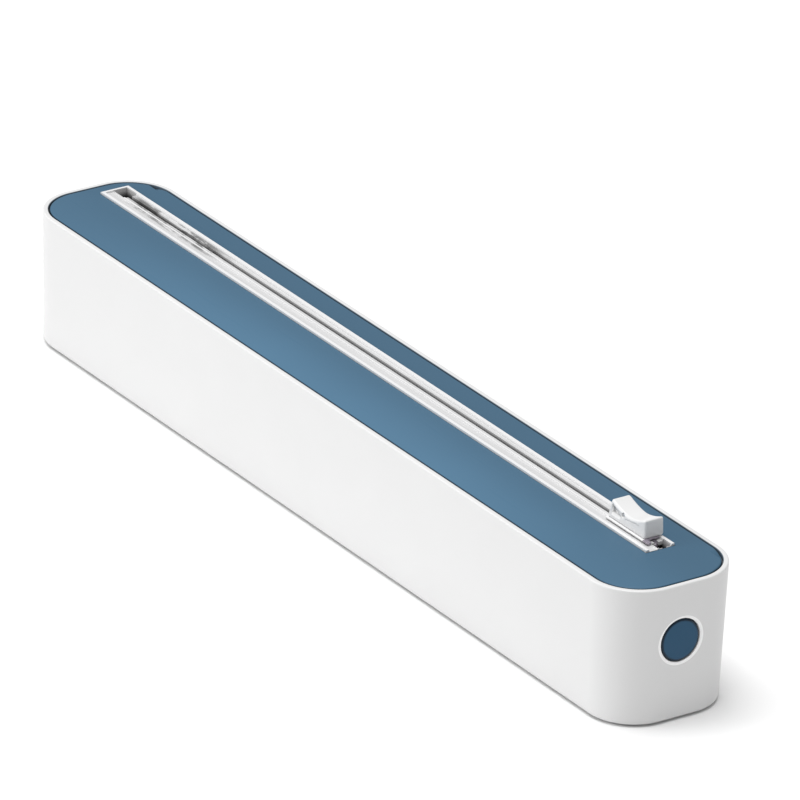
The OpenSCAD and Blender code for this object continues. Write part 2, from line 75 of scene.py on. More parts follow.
def box_mm(node):
    """Lowest and highest corner of a node of the frame."""
    low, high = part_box(node)
    return low / MM, high / MM


BODY_LOW, BODY_HIGH = box_mm("body_shell")
LID_HIGH = box_mm("lid_panel")[1]
RAIL_LOW, RAIL_HIGH = box_mm("cutter_rail")
GRIP_LOW, GRIP_HIGH = box_mm("slider_grip")
BUTTON_LOW, BUTTON_HIGH = box_mm("release_button")
ROLL_LOW, ROLL_HIGH = box_mm("film_roll")
CORE_LOW, CORE_HIGH = box_mm("core_tube")
SPRING_LOW, SPRING_HIGH = box_mm("latch_spring")
HINGE = Vector(next(j["pos_m"] for j in frame["joints"] if j["name"] == "lid_hinge")) / MM
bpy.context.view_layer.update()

# Box
WALL = 1.8
DRAFT = 1.2
CORNER_R = 17.5
BASE_CHAMFER = 1.0
FLOOR_Z = 2.7
CORNER_X = BODY_HIGH.x - CORNER_R
CORNER_Y = BODY_HIGH.y - CORNER_R
CORNER_STEPS = 24

# Lid
PANEL_T = 2.0
LID_LOW_Z = LID_HIGH.z - PANEL_T
LID_GAP = 0.4
LID_R = CORNER_R - WALL - LID_GAP
REAR_R = LID_HIGH.z - HINGE.z
HINGE_PLACES = (-110.0, 0.0, 110.0)
BRACKET_W = 10.0
BOSS_LOW, BOSS_HIGH = 33.0, 40.0

# Rail
RAIL_FRONT, RAIL_BACK = 1.5, 12.4
RAIL_Y = (RAIL_FRONT + RAIL_BACK) / 2
RAIL_W = RAIL_BACK - RAIL_FRONT
GROOVE_Y = 1.75
DECK_Z = LID_HIGH.z

# Button
BUTTON_Y = (BUTTON_LOW.y + BUTTON_HIGH.y) / 2
BUTTON_Z = (BUTTON_LOW.z + BUTTON_HIGH.z) / 2
BUTTON_R = 7.3

ROLL_Z = (ROLL_LOW.z + ROLL_HIGH.z) / 2

# Feet and screws: their places, and the faces and plates that the screws' heads sit on
FOOT_X, FOOT_Y = 130.0, 13.0
CRADLE_SCREW_X, CRADLE_SCREW_Y = 146.5, 14.0
GUIDE_SCREW_X, GUIDE_SCREW_Y = 160.8, 9.0
HINGE_SCREW_X = 2.7
PANEL_SCREWS_X, PANEL_SCREW_Y = (-155.0, -55.0, 55.0, 155.0), -16.0
RAIL_SCREWS_X, RAIL_SCREW_Y = (-130.0, -45.0, 45.0, 130.0), 7.1
CATCH_SCREW_X, CATCH_SCREW_Y = 164.4, 2.8
PANEL_SEAT_Z, RAIL_SEAT_Z, CATCH_SEAT_Z = 44.2, 43.2, 42.9
BASE_PLATE_T = 2.0
BRACKET_T = 0.4

# Camera: its angles in degrees, and its distance and shifts in metres
CAMERA_TURN, CAMERA_RISE, CAMERA_ROLL = 55.196, 25.003, 2.095
CAMERA_BACK, CAMERA_RIGHT, CAMERA_UP = 3.5047, 0.00855, 0.00458
CAMERA_AIM_Z = 0.035
CAMERA_LENS = 487


# ---------------------------------------------------------------- meshes


def at(x, y, z):
    """The move to a place in millimetres."""
    return Matrix.Translation(Vector((x, y, z)) * MM)


def four_places(x, y):
    """A place and its mirror images, left to right and front to back."""
    return [(sx * x, sy * y) for sx in (-1, 1) for sy in (-1, 1)]


def new_object(name, mesh):
    piece = bpy.data.objects.new(name, mesh)
    bpy.context.scene.collection.objects.link(piece)
    return piece


def from_points(name, points, edges=(), faces=()):
    mesh = bpy.data.meshes.new(name)
    mesh.from_pydata([Vector(p) * MM for p in points], list(edges), list(faces))
    return new_object(name, mesh)


def apply_stack(piece):
    """Replaces a piece's mesh by what its modifiers make of it."""
    bpy.context.view_layer.update()
    graph = bpy.context.evaluated_depsgraph_get()
    made = bpy.data.meshes.new_from_object(piece.evaluated_get(graph), depsgraph=graph)
    old = piece.data
    piece.modifiers.clear()
    piece.data = made
    bpy.data.meshes.remove(old)
    return piece


def remove(*pieces):
    for piece in pieces:
        mesh = piece.data
        bpy.data.objects.remove(piece)
        bpy.data.meshes.remove(mesh)


def combine(piece, operation, *helpers):
    """Adds helper solids to a piece or cuts them out of it, and removes the helpers."""
    for helper in helpers:
        step = piece.modifiers.new(operation.title(), "BOOLEAN")
        step.operation = operation
        step.solver = "EXACT"
        step.object = helper
    apply_stack(piece)
    remove(*helpers)
    if not piece.data.polygons:
        raise RuntimeError(f"{piece.name}: nothing is left after {operation.lower()}")
    return piece


def bevel(piece, width, segments=3, angle=35.0, by_weight=False):
    """Rounds a piece's edges, either all that are sharper than an angle or those with a bevel weight."""
    step = piece.modifiers.new("Bevel", "BEVEL")
    step.width = width * MM
    step.segments = segments
    step.limit_method = "WEIGHT" if by_weight else "ANGLE"
    step.angle_limit = math.radians(angle)
    step.use_clamp_overlap = True
    step.miter_outer = "MITER_ARC"
    return step


def bevel_long_edges(piece, width, segments, shortest):
    """Rounds a piece's outer edges, apart from short ones, such as a bore's, that hold every width down."""
    shape = bmesh.new()
    shape.from_mesh(piece.data)
    weight = shape.edges.layers.float.new("bevel_weight_edge")
    for edge in shape.edges:
        outer = len(edge.link_faces) == 2 and edge.is_convex
        if outer and edge.calc_face_angle() > SHARP_ANGLE and edge.calc_length() > shortest * MM:
            edge[weight] = 1.0
    shape.to_mesh(piece.data)
    shape.free()
    return bevel(piece, width, segments, by_weight=True)


def merged(mesh, distance):
    """Joins a mesh's points that lie within a distance in millimetres of each other."""
    shape = bmesh.new()
    shape.from_mesh(mesh)
    bmesh.ops.remove_doubles(shape, verts=shape.verts, dist=distance * MM)
    shape.to_mesh(mesh)
    shape.free()


def weigh_normals(piece):
    """Keeps flat faces flat beside rounded edges."""
    for face in piece.data.polygons:
        face.use_smooth = True
    if not piece.modifiers:
        piece.data.set_sharp_from_angle(angle=CREASE_ANGLE)
    step = piece.modifiers.new("Weighted normals", "WEIGHTED_NORMAL")
    step.keep_sharp = True
    return piece


def lofted(name, rings, weights=()):
    """A closed solid through rings of points. Weights say how much of the bevel a ring gets."""
    shape = bmesh.new()
    weight = shape.edges.layers.float.new("bevel_weight_edge")
    loops = [[shape.verts.new(Vector(p) * MM) for p in ring] for ring in rings]
    for lower, upper in zip(loops, loops[1:]):
        for i in range(len(lower)):
            j = (i + 1) % len(lower)
            shape.faces.new((lower[i], lower[j], upper[j], upper[i]))
    shape.faces.new(reversed(loops[0]))
    shape.faces.new(loops[-1])
    for index, share in weights:
        loop = loops[index]
        for i in range(len(loop)):
            shape.edges.get((loop[i], loop[(i + 1) % len(loop)]))[weight] = share
    mesh = bpy.data.meshes.new(name)
    shape.to_mesh(mesh)
    shape.free()
    return new_object(name, mesh)


def block(name, x0, x1, y0, y1, z0, z1):
    ring = [(x0, y0), (x1, y0), (x1, y1), (x0, y1)]
    return lofted(name, [[(x, y, z) for x, y in ring] for z in (z0, z1)])


def prism(name, x0, x1, section):
    """A section of (y, z) points, anticlockwise seen from +X, drawn out along X."""
    return lofted(name, [[(x, y, z) for y, z in section] for x in (x0, x1)])


def turned(name, profile, place, steps=48, closed=False):
    """A turned shape from (radius, height) points, top to bottom; place moves its own axis, z."""
    count = len(profile)
    edges = [(i, i + 1) for i in range(count - 1)]
    if closed:
        edges.append((count - 1, 0))
    piece = from_points(name, [(r, 0, h) for r, h in profile], edges)
    step = piece.modifiers.new("Screw", "SCREW")
    step.steps = steps
    step.render_steps = steps
    step.use_merge_vertices = True
    step.merge_threshold = 0.002 * MM
    step.use_smooth_shade = True
    apply_stack(piece)
    piece.data.transform(place)
    return piece


def joined(name, pieces):
    """One object from several, whose meshes are put together."""
    shape = bmesh.new()
    for piece in pieces:
        shape.from_mesh(piece.data)
    mesh = bpy.data.meshes.new(name)
    shape.to_mesh(mesh)
    shape.free()
    remove(*pieces)
    return new_object(name, mesh)


def from_node(name, node):
    """A copy of a node of the frame, merged and with its flat faces whole."""
    shape = bmesh.new()
    shape.from_mesh(frame["nodes"][node].data)
    bmesh.ops.remove_doubles(shape, verts=shape.verts, dist=0.001 * MM)
    bmesh.ops.dissolve_limit(
        shape, angle_limit=math.radians(0.5), verts=shape.verts, edges=shape.edges
    )
    mesh = bpy.data.meshes.new(name)
    shape.to_mesh(mesh)
    shape.free()
    return new_object(name, mesh)


def rounded_outline(length, width, radius, steps=CORNER_STEPS):
    """Points round a rectangle with round corners, anticlockwise from its +X side."""
    points = []
    for quarter, (sx, sy) in enumerate([(1, 1), (-1, 1), (-1, -1), (1, -1)]):
        for i in range(steps + 1):
            turn = math.radians(90 * (quarter + i / steps))
            x = sx * (length / 2 - radius) + radius * math.cos(turn)
            y = sy * (width / 2 - radius) + radius * math.sin(turn)
            points.append((x, y))
    return points


def dress(piece, material, body, slot, *nodes, weigh=True):
    """Gives a piece its normals, its material, its body and the nodes that it stands for. Its slot is not
    used.
    """
    if weigh:
        weigh_normals(piece)
    piece.data.materials.clear()
    piece.data.materials.append(material)
    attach(piece, body)
    if nodes:
        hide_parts(*nodes)
    return piece


# ------------------------------------------------------------- materials


class Socket:
    """A socket in a material. Sums of sockets and numbers add the Math nodes that work them out."""

    def __init__(self, tree, socket):
        self.tree = tree
        self.socket = socket

    def node(self, kind, settings=None, sockets=None, out=0):
        """Adds a node: its settings first, then its sockets' values and links."""
        made = self.tree.nodes.new("ShaderNode" + kind)
        for name, value in (settings or {}).items():
            setattr(made, name, value)
        for name, value in (sockets or {}).items():
            if isinstance(value, Socket):
                self.tree.links.new(value.socket, made.inputs[name])
            else:
                made.inputs[name].default_value = value
        return Socket(self.tree, made.outputs[out])

    def math(self, operation, *others):
        """This socket's value, worked on with any others."""
        return self.node("Math", {"operation": operation}, dict(enumerate((self, *others))))

    def __add__(self, other):
        return self.math("ADD", other)

    __radd__ = __add__

    def __sub__(self, other):
        return self.math("SUBTRACT", other)

    def __rsub__(self, other):
        return self.node("Math", {"operation": "SUBTRACT"}, {0: other, 1: self})

    def __mul__(self, other):
        return self.math("MULTIPLY", other)

    __rmul__ = __mul__

    def __truediv__(self, other):
        return self.math("DIVIDE", other)

    def clamped(self, low=0.0, high=1.0):
        return self.math("MAXIMUM", low).math("MINIMUM", high)

    def between(self, low, high):
        """0 below low, 1 above high, and smooth between them."""
        settings = {"interpolation_type": "SMOOTHSTEP"}
        return self.node("MapRange", settings, {"Value": self, "From Min": low, "From Max": high})

    def across(self, low, high):
        """The same for a place on the object, between limits in millimetres."""
        return self.between(low * MM, high * MM)

    def noise(self, scale, detail=3.0, roughness=0.5, stretch=(1.0, 1.0, 1.0)):
        """Noise on this place, with features of about 1 / scale metres."""
        place = self.node("Mapping", None, {"Vector": self, "Scale": stretch})
        sockets = {"Vector": place, "Scale": scale, "Detail": detail, "Roughness": roughness}
        return self.node("TexNoise", None, sockets)

    def mixed(self, first, second):
        """The first colour where this is 0 and the second where it is 1."""
        sockets = {0: self, 6: first, 7: second}
        return self.node("Mix", {"data_type": "RGBA"}, sockets, out=2)


class Finish:
    """A material with its shader and the place on the object that its patterns use."""

    def __init__(self, name, **values):
        self.material = bpy.data.materials.new(name)
        self.material.use_nodes = True
        self.tree = self.material.node_tree
        self.shader = self.tree.nodes["Principled BSDF"]
        coordinates = self.tree.nodes.new("ShaderNodeTexCoord")
        self.place = Socket(self.tree, coordinates.outputs["Object"])
        for key, value in values.items():
            self.shader.inputs[key.replace("_", " ")].default_value = value

    def link(self, **sockets):
        for key, value in sockets.items():
            self.tree.links.new(value.socket, self.shader.inputs[key.replace("_", " ")])
        return self

    def bump(self, height, depth, strength=1.0):
        """Raises the surface by a height of 0 to 1, times a depth in millimetres."""
        sockets = {"Strength": strength, "Distance": depth * MM, "Height": height}
        return self.link(Normal=self.place.node("Bump", None, sockets))

    def darker(self, colours, factor):
        """Colours times a factor."""
        scale = {0: colours, "Scale": factor}
        return self.place.node("VectorMath", {"operation": "SCALE"}, scale)

    def axis(self, name):
        return self.place.node("SeparateXYZ", None, {0: self.place}, out="XYZ".index(name))


def rgba(colour, factor=1.0):
    return (*[min(1.0, c * factor) for c in colour[:3]], 1.0)


def moulded(name, colour, roughness, grain=0.006, mottle=0.03, scuff=0.06, coat=0.0, shine=0.5, tint=None):
    """Moulded plastic: cloudy colour, fine mould grain, smudges and a few long hairline rubs, and any
    painted light or shade that is passed in.
    """
    finish = Finish(name, Coat_Weight=coat, Coat_Roughness=0.12, Specular_IOR_Level=shine)
    place = finish.place
    cloud = place.noise(26.0, 4.0, 0.55)
    pores = place.noise(2600.0, 2.0, 0.5)
    smudge = place.noise(55.0, 5.0, 0.6)
    rubs = place.noise(420.0, 2.0, 0.5, (0.04, 1.0, 1.0)).between(0.62, 0.72)
    tone = (cloud * 0.7 + smudge * 0.3).clamped()
    colours = tone.mixed(rgba(colour, 1.0 - mottle), rgba(colour, 1.0 + mottle))
    # Painted light and shade, where a painting function is given.
    if tint:
        colours = tint(finish, colours)
    finish.link(
        Base_Color=colours,
        Roughness=(roughness + (smudge - 0.5) * scuff * 2.0 + rubs * scuff).clamped(0.05, 1.0),
    )
    return finish.bump(pores * 0.8 + cloud * 0.2, grain).material


def shell_tint(finish, colours):
    """Paints shade on the inside of the rim, where the lid shades it, and paints a highlight on the bevel
    round the button.
    """
    x, y, z = (finish.axis(name) for name in "XYZ")
    # Painted shade: the inner wall of the rim is greyed towards slate.
    out_x = (x.math("ABSOLUTE") - CORNER_X * MM).clamped()
    out_y = (y.math("ABSOLUTE") - CORNER_Y * MM).clamped()
    from_corner = (out_x * out_x + out_y * out_y).math("SQRT")
    inside = 1.0 - from_corner.across(CORNER_R - WALL, CORNER_R - WALL + 0.25)
    inside = inside * z.across(BODY_HIGH.z - 1.8, BODY_HIGH.z - 1.3)
    # Painted highlight: the bevel round the button is whitened.
    side, rise = y - BUTTON_Y * MM, z - BUTTON_Z * MM
    from_button = (side * side + rise * rise).math("SQRT")
    ring = (1.0 - from_button.across(BUTTON_R + 1.1, BUTTON_R + 1.3)) * x.across(170.0, 171.0)
    shaded = (inside * (1.0 - ring)).mixed(colours, rgba((0.12, 0.16, 0.2)))
    return ring.mixed(shaded, rgba((0.97, 0.97, 0.97)))


def lid_tint(finish, colours):
    """Paints light on the lid, lighter towards its front and its middle, and paints shade on its edges and
    beside the rail slot.
    """
    x, y, z = (finish.axis(name) for name in "XYZ")
    # Painted light: lighter towards the front and the middle, darker towards the back and both ends.
    front = 1.0 - y.across(-24.0, 12.0)
    middle = x.across(-190.0, -30.0) * (1.0 - x.across(60.0, 175.0) * 0.8)
    painted_lighting = (front * (0.35 + middle * 0.65)).mixed(
        finish.darker(colours, 0.84), finish.darker(colours, 1.24)
    )
    # Painted shade beside the rail slot and on the lid's rounded edges.
    from_rail = (y - RAIL_Y * MM).math("ABSOLUTE")
    beside = 1.0 - from_rail.across(RAIL_W / 2 + 0.05, RAIL_W / 2 + 0.5)
    beside = beside * (1.0 - x.across(RAIL_HIGH.x + 0.1, RAIL_HIGH.x + 0.5))
    beside = beside * x.across(RAIL_LOW.x - 0.5, RAIL_LOW.x - 0.1)
    edge = 1.0 - z.across(LID_HIGH.z - 0.35, LID_HIGH.z - 0.04)
    edge = edge * (1.0 - y.across(13.5, 16.5)) * z.across(LID_LOW_Z + 0.1, LID_LOW_Z + 0.4)
    painted_shade = (beside * 0.55 + edge * 0.8).clamped()
    return painted_shade.mixed(painted_lighting, finish.darker(painted_lighting, 0.12))


def button_tint(finish, colours):
    """Paints shade on the button's edge."""
    side = finish.axis("Y") - BUTTON_Y * MM
    rise = finish.axis("Z") - BUTTON_Z * MM
    from_axis = (side * side + rise * rise).math("SQRT")
    edge = from_axis.across(BUTTON_R - 1.1, BUTTON_R - 0.5)
    return (edge * 0.85).mixed(colours, finish.darker(colours, 0.1))


def clear_moulding(name, colour, dark, tab=False):
    """Polished clear plastic over the lid: pale, streaked along its length in roughness and in painted
    reflections, with painted shade on its back deck and where it is deep, and a painted highlight on its
    raised parts.
    """
    finish = Finish(name, IOR=1.49, Coat_Weight=0.6, Coat_Roughness=0.08)
    place = finish.place
    x, y, z = (finish.axis(name) for name in "XYZ")
    # Streaks and marks roughen the surface, and paint reflections and shade into the colour.
    streaks_and_reflections = place.noise(340.0, 3.0, 0.6, (0.03, 1.0, 1.0)).between(0.35, 0.7)
    marks_and_reflections = place.noise(330.0, 4.0, 0.65, (0.22, 1.0, 1.0)).between(0.4, 0.54)
    blots = place.noise(130.0, 2.0, 0.5, (0.6, 2.0, 1.0)).between(0.35, 0.55)
    far = x.across(-163.0, -154.0) * (1.0 - x.across(-118.0, -95.0))
    inner = y.across(RAIL_Y - 2.6, RAIL_Y - 1.2) * (1.0 - y.across(10.7, 11.3))
    # Painted highlight on the raised lips and ridge.
    raised_highlight = z.across(DECK_Z + 0.15, DECK_Z + 0.3)
    back = y.across(RAIL_Y + 2.4, RAIL_Y + 2.7)
    # Painted shade on the back deck, with the painted reflections and shade of the streaks and marks.
    shade = streaks_and_reflections * 0.12 + back * 0.1 + marks_and_reflections * (blots * 0.7 + 0.3) * (far * 0.9 + 0.05) * inner
    flat = (shade * (1.0 - raised_highlight * 0.8)).clamped().mixed(rgba(colour), rgba(dark))
    lit = (raised_highlight * 0.6).mixed(flat, rgba(colour, 1.25))
    # Painted shade in the deep channel and groove.
    sunk_shade = 1.0 - z.across(DECK_Z - 3.0, DECK_Z - 0.3)
    from_groove = (y - (RAIL_Y + GROOVE_Y) * MM).math("ABSOLUTE")
    sunk_shade = sunk_shade * (1.0 - from_groove.across(2.65, 2.75)) * z.across(RAIL_SEAT_Z + 0.1, RAIL_SEAT_Z + 0.3)
    if tab:
        lit = x.across(GRIP_HIGH.x - 0.6, GRIP_HIGH.x).mixed(lit, rgba((0.25, 0.22, 0.27)))
    finish.link(
        Base_Color=(sunk_shade * 0.96).mixed(lit, rgba((0.03, 0.03, 0.035))),
        Roughness=(0.14 + streaks_and_reflections * 0.16 + marks_and_reflections * far * 0.2).clamped(0.05, 1.0),
    )
    return finish.bump(place.noise(500.0, 2.0, 0.5, (0.05, 1.0, 1.0)), 0.02).material


def metal(name, colour, roughness, stretch, grain=0.004):
    """Steel with brush lines that are long along the axis with the smallest stretch."""
    finish = Finish(name, Metallic=1.0)
    place = finish.place
    lines = place.noise(3000.0, 3.0, 0.6, stretch)
    cloud = place.noise(120.0, 3.0, 0.5)
    finish.link(
        Base_Color=cloud.mixed(rgba(colour, 0.86), rgba(colour, 1.06)),
        Roughness=(roughness + (lines - 0.5) * 0.2 + (cloud - 0.5) * 0.12).clamped(0.08, 1.0),
    )
    return finish.bump(lines, grain).material


def rubber(name, colour):
    """Matte rubber with dust in its pores."""
    finish = Finish(name, IOR=1.45)
    pores = finish.place.noise(1500.0, 4.0, 0.65)
    dust = finish.place.noise(200.0, 4.0, 0.6).between(0.5, 0.75)
    finish.link(
        Base_Color=(dust * 0.6).mixed(rgba(colour), rgba(colour, 1.9)),
        Roughness=(0.72 + dust * 0.15).clamped(),
    )
    return finish.bump(pores, 0.02).material


def wound_film(name, colour, dark):
    """Clear film wound on a core: bands along its length, rings on its ends and soft wrinkles."""
    finish = Finish(name, IOR=1.5, Coat_Weight=0.6, Coat_Roughness=0.08)
    place = finish.place
    bands = place.noise(90.0, 3.0, 0.6, (1.0, 0.04, 0.04))
    wrinkles = place.noise(160.0, 3.0, 0.55, (0.12, 1.0, 1.0))
    y = finish.axis("Y")
    z = finish.axis("Z") - ROLL_Z * MM
    radius = (y * y + z * z).math("SQRT")
    rings = (radius * 9000.0).math("SINE") * 0.5 + 0.5
    finish.link(
        Base_Color=(bands * 0.6 + wrinkles * 0.3).clamped().mixed(rgba(colour), rgba(dark)),
        Roughness=(0.12 + wrinkles * 0.2).clamped(),
    )
    return finish.bump(wrinkles * 0.8 + rings * 0.2, 0.15).material


def board(name, colour):
    """Spiral-wound board: a seam that winds round the core, fibres and flecks."""
    finish = Finish(name, IOR=1.4)
    place = finish.place
    y = finish.axis("Y")
    z = finish.axis("Z") - ROLL_Z * MM
    turn = y.math("ARCTAN2", z) / (2.0 * math.pi)
    winding = (finish.axis("X") * 18.0 + turn).math("FRACT")
    seam = 1.0 - winding.between(0.0, 0.03) * (1.0 - winding.between(0.97, 1.0))
    fibres = place.noise(900.0, 4.0, 0.7, (0.4, 1.0, 1.0))
    flecks = place.noise(260.0, 3.0, 0.6).between(0.62, 0.7)
    tone = (fibres * 0.6 + seam * 0.5 + flecks * 0.25).clamped()
    finish.link(
        Base_Color=tone.mixed(rgba(colour, 1.12), rgba(colour, 0.7)),
        Roughness=(0.85 + (fibres - 0.5) * 0.15).clamped(),
    )
    return finish.bump(fibres * 0.5 - seam * 0.8 + 0.8, 0.08).material


# ------------------------------------------------------------ properties


class DispenserSizes(bpy.types.PropertyGroup):
    """Edge radii and small reliefs of the finished pieces."""

    rim_round: FloatProperty(
        name="Rim round",
        description="Radius of the outer edge of the box's rim",
        unit="LENGTH",
        default=0.55 * MM, min=0.1 * MM, max=0.8 * MM,
    )
    lid_round: FloatProperty(
        name="Lid round",
        description="Radius of the lid's front and side edges",
        unit="LENGTH",
        default=0.6 * MM, min=0.1 * MM, max=1.0 * MM,
    )
    grip_round: FloatProperty(
        name="Grip round",
        description="Radius of the slider grip's edges",
        unit="LENGTH",
        default=0.75 * MM, min=0.1 * MM, max=0.8 * MM,
    )
    grip_line: FloatProperty(
        name="Grip line",
        description="Depth of the line along the front of the slider grip",
        unit="LENGTH",
        default=0.2 * MM, min=0.0 * MM, max=0.6 * MM,
    )


class DispenserColours(bpy.types.PropertyGroup):
    """Colours of the mouldings, as linear values."""

    white: FloatVectorProperty(
        name="White",
        description="Box, frame and grip moulding",
        subtype="COLOR",
        default=(0.715, 0.715, 0.715), min=0.0, max=1.0,
    )
    blue: FloatVectorProperty(
        name="Lid",
        description="Slate blue of the lid",
        subtype="COLOR",
        default=(0.064, 0.144, 0.226), min=0.0, max=1.0,
    )
    button: FloatVectorProperty(
        name="Button",
        description="Darker slate blue of the release button",
        subtype="COLOR",
        default=(0.013, 0.072, 0.145), min=0.0, max=1.0,
    )
    clear: FloatVectorProperty(
        name="Clear moulding",
        description="Pale tone of the cutter rail and the slider's foot",
        subtype="COLOR",
        default=(0.71, 0.71, 0.715), min=0.0, max=1.0,
    )


class Dispenser:
    """What the dispenser's operators share."""

    bl_options = {"REGISTER", "UNDO"}

    @staticmethod
    def finish(name, make, *values, **settings):
        """A material by name, made the first time that it is asked for."""
        return bpy.data.materials.get(name) or make(name, *values, **settings)

    @property
    def sizes(self):
        return bpy.context.scene.dispenser_sizes

    @property
    def colours(self):
        return bpy.context.scene.dispenser_colours

    def white(self):
        return self.finish("white_moulding", moulded, self.colours.white, 0.36, tint=shell_tint)

    def inner(self):
        return self.finish("inner_moulding", moulded, (0.78, 0.78, 0.77), 0.5, grain=0.012)

    def steel(self):
        return self.finish("screw_steel", metal, (0.62, 0.63, 0.64), 0.32, (1.0, 1.0, 1.0))

    def sheet_steel(self):
        return self.finish("bracket_steel", metal, (0.6, 0.61, 0.62), 0.28, (0.03, 1.0, 1.0))

    def clear(self):
        # The dark tone of the rail's painted reflections and shade.
        dark = tuple(c * 0.2 for c in self.colours.clear)
        return self.finish("clear_moulding", clear_moulding, self.colours.clear, dark)

    def refined(self, name, node, width, material, body, slot, segments=2, shortest=1.2):
        """A node of the frame with its outer edges rounded, where they are longer than the shortest."""
        piece = from_node(name, node)
        bevel_long_edges(piece, width, segments, shortest)
        return dress(piece, material, body, slot, node)


# ------------------------------------------------------------- operators


class DISPENSER_OT_body(Dispenser, bpy.types.Operator):
    """Build the white box with its rim, hinge bosses, button hole and foot recesses"""

    bl_idname = "dispenser.body"
    bl_label = "Body"

    def execute(self, context):
        rim = self.sizes.rim_round / MM
        length = BODY_HIGH.x - BODY_LOW.x
        width = BODY_HIGH.y - BODY_LOW.y
        levels = [
            (DRAFT + BASE_CHAMFER, BODY_LOW.z),
            (DRAFT, BODY_LOW.z + BASE_CHAMFER),
            (0.0, BODY_HIGH.z),
            (WALL, BODY_HIGH.z),
            (DRAFT + WALL, FLOOR_Z),
        ]
        rings = [
            [(x, y, z) for x, y in rounded_outline(length - 2 * by, width - 2 * by, CORNER_R - by)]
            for by, z in levels
        ]
        body = lofted("white_body", rings, [(0, 0.5), (1, 0.5), (2, rim), (3, 0.3), (4, 0.8)])
        bevel(body, 1.0, 4, by_weight=True)
        reach = BRACKET_W / 2 + 1
        boss_back = BODY_HIGH.y - WALL / 2 - DRAFT / 3
        bosses = [
            block("boss", x - reach, x + reach, HINGE.y + 0.4, boss_back, BOSS_LOW, BOSS_HIGH)
            for x in HINGE_PLACES
        ]
        combine(body, "UNION", *bosses)
        face = BODY_HIGH.x - DRAFT * (BODY_HIGH.z - BUTTON_Z) / (BODY_HIGH.z - BODY_LOW.z)
        bore = BUTTON_R + 0.15
        hole = [(0, face + 3), (bore + 3.4, face + 3), (bore + 0.1, face - 0.3), (bore, face - 0.4)]
        hole += [(bore, face - 6), (0, face - 6)]
        cutters = [turned("hole", hole, at(0, BUTTON_Y, BUTTON_Z) @ ALONG_X, 64)]
        recess = [(0, 1.5), (5.15, 1.5), (5.15, -1), (0, -1)]
        cutters += [turned("recess", recess, at(x, y, 0), 40) for x, y in four_places(FOOT_X, FOOT_Y)]
        combine(body, "DIFFERENCE", *cutters)
        dress(body, self.white(), "box", "white_plastic", "body_shell")
        return {"FINISHED"}


def lid_reach(x):
    """How far behind the hinge line the lid can reach at x and still swing clear of the rim."""
    beyond = max(0.0, abs(x) - CORNER_X)
    rim = CORNER_Y + math.sqrt(max(0.0, (CORNER_R - WALL) ** 2 - beyond**2)) - HINGE.y
    return rim - (0.15 + 0.25 * min(1.0, beyond / 6.5))


def clipped_behind(outline, limit):
    """The part of an outline in front of y = limit, with the two points where it crosses."""
    points = []
    for (ax, ay), (bx, by) in zip(outline, outline[1:] + outline[:1]):
        if ay <= limit:
            points.append((ax, ay))
        if (ay - limit) * (by - limit) < 0:
            share = (limit - ay) / (by - ay)
            points.append((ax + share * (bx - ax), limit))
    return points


